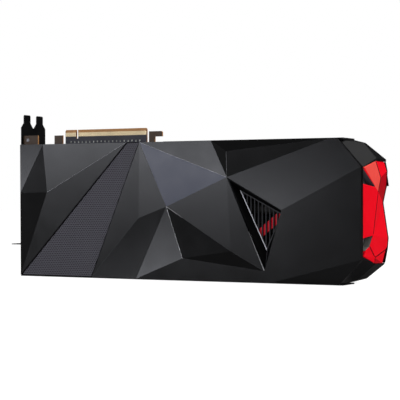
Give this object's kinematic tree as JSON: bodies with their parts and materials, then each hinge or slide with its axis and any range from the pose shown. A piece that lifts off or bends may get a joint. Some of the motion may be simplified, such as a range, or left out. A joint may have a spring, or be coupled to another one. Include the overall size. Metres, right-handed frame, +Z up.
{
  "type": "graphics card",
  "caption": "Long graphics card with a faceted black backplate, a slatted triangular vent, a red faceted end cover, cooling fans that spin, a slotted bracket and a gilt slot edge.",
  "frame": {"origin": "on the surface the card stands on, under the middle of its outer box", "axes": "+X along the card from the bracket to the red end, +Y from the backplate to the fans, +Z up from the long lower edge to the gilt slot edge"},
  "size_m": [0.351, 0.0642, 0.1487],
  "materials": {
    "black_plate": "satin black coat over cast metal",
    "black_mesh": "black, finely perforated",
    "black_trim": "moulded, matte",
    "accent_red": "red lacquer",
    "board_black": "black solder mask",
    "gilt": "gilt, polished",
    "ceramic_grey": "fired ceramic body with tinned ends",
    "black_bracket": "black plated steel sheet",
    "port_steel": "nickel-plated shell",
    "port_black": "moulded insert",
    "package_green": "laminate",
    "die_grey": "polished silicon",
    "chip_black": "moulded chip body",
    "pad_grey": "soft thermal pad",
    "ferrite": "pressed ferrite",
    "can_metal": "bare can",
    "copper": "bare copper",
    "plated_pipe": "black nickel-plated copper",
    "fin_metal": "black-coated thin sheet",
    "black_shroud": "moulded, fine grain",
    "dark_cap": "satin dark grey",
    "end_grey": "satin grey",
    "red_cover": "red lacquer, semi-gloss",
    "blade_black": "moulded, fine grain",
    "steel": "ground pin",
    "bearing_brass": "sintered bush",
    "winding": "enamelled copper on laminations",
    "socket_black": "moulded, glass filled",
    "header_white": "moulded",
    "screw_black": "black oxide"
  },
  "bodies": {
    "card": {"backplate": "black_plate", "mesh_panel": "black_mesh", "vent_grille": "black_trim", "vent_accent_bar": "accent_red", "circuit_board": "board_black", "edge_contacts": "gilt", "surface_capacitors": "ceramic_grey", "io_bracket": "black_bracket", "displayport_1": "port_steel", "displayport_2": "port_steel", "displayport_3": "port_steel", "hdmi_port": "port_steel", "port_tongues": "port_black", "gpu_package": "package_green", "gpu_die": "die_grey", "memory_chips": "chip_black", "thermal_pads": "pad_grey", "power_chokes": "ferrite", "power_stages": "chip_black", "polymer_capacitors": "can_metal", "cold_plate": "copper", "memory_plate": "fin_metal", "heat_pipes": "plated_pipe", "fin_stack_main": "fin_metal", "fin_stack_rear": "fin_metal", "shroud": "black_shroud", "end_cap": "dark_cap", "end_panel": "end_grey", "red_end_cover": "red_cover", "power_socket_1": "socket_black", "power_socket_2": "socket_black", "power_pins": "gilt", "fan_headers": "header_white", "board_screws": "screw_black", "bracket_screws": "screw_black", "fan_frame_1": "black_trim", "fan_bearing_1": "bearing_brass", "fan_stator_1": "winding", "fan_frame_2": "black_trim", "fan_bearing_2": "bearing_brass", "fan_stator_2": "winding", "fan_frame_3": "black_trim", "fan_bearing_3": "bearing_brass", "fan_stator_3": "winding"},
    "fan_1": {"fan_rotor_1": "blade_black", "fan_shaft_1": "steel", "fan_magnet_1": "ferrite"},
    "fan_2": {"fan_rotor_2": "blade_black", "fan_shaft_2": "steel", "fan_magnet_2": "ferrite"},
    "fan_3": {"fan_rotor_3": "blade_black", "fan_shaft_3": "steel", "fan_magnet_3": "ferrite"}
  },
  "joints": [
    {"name": "fan_1_spin", "type": "hinge", "parent": "card", "child": "fan_1", "pos_m": [-0.10608, 0.02407, 0.0605], "axis": [0, 1, 0], "continuous": true},
    {"name": "fan_2_spin", "type": "hinge", "parent": "card", "child": "fan_2", "pos_m": [-0.00758, 0.02407, 0.0605], "axis": [0, 1, 0], "continuous": true},
    {"name": "fan_3_spin", "type": "hinge", "parent": "card", "child": "fan_3", "pos_m": [0.09091, 0.02407, 0.0605], "axis": [0, 1, 0], "continuous": true}
  ]
}
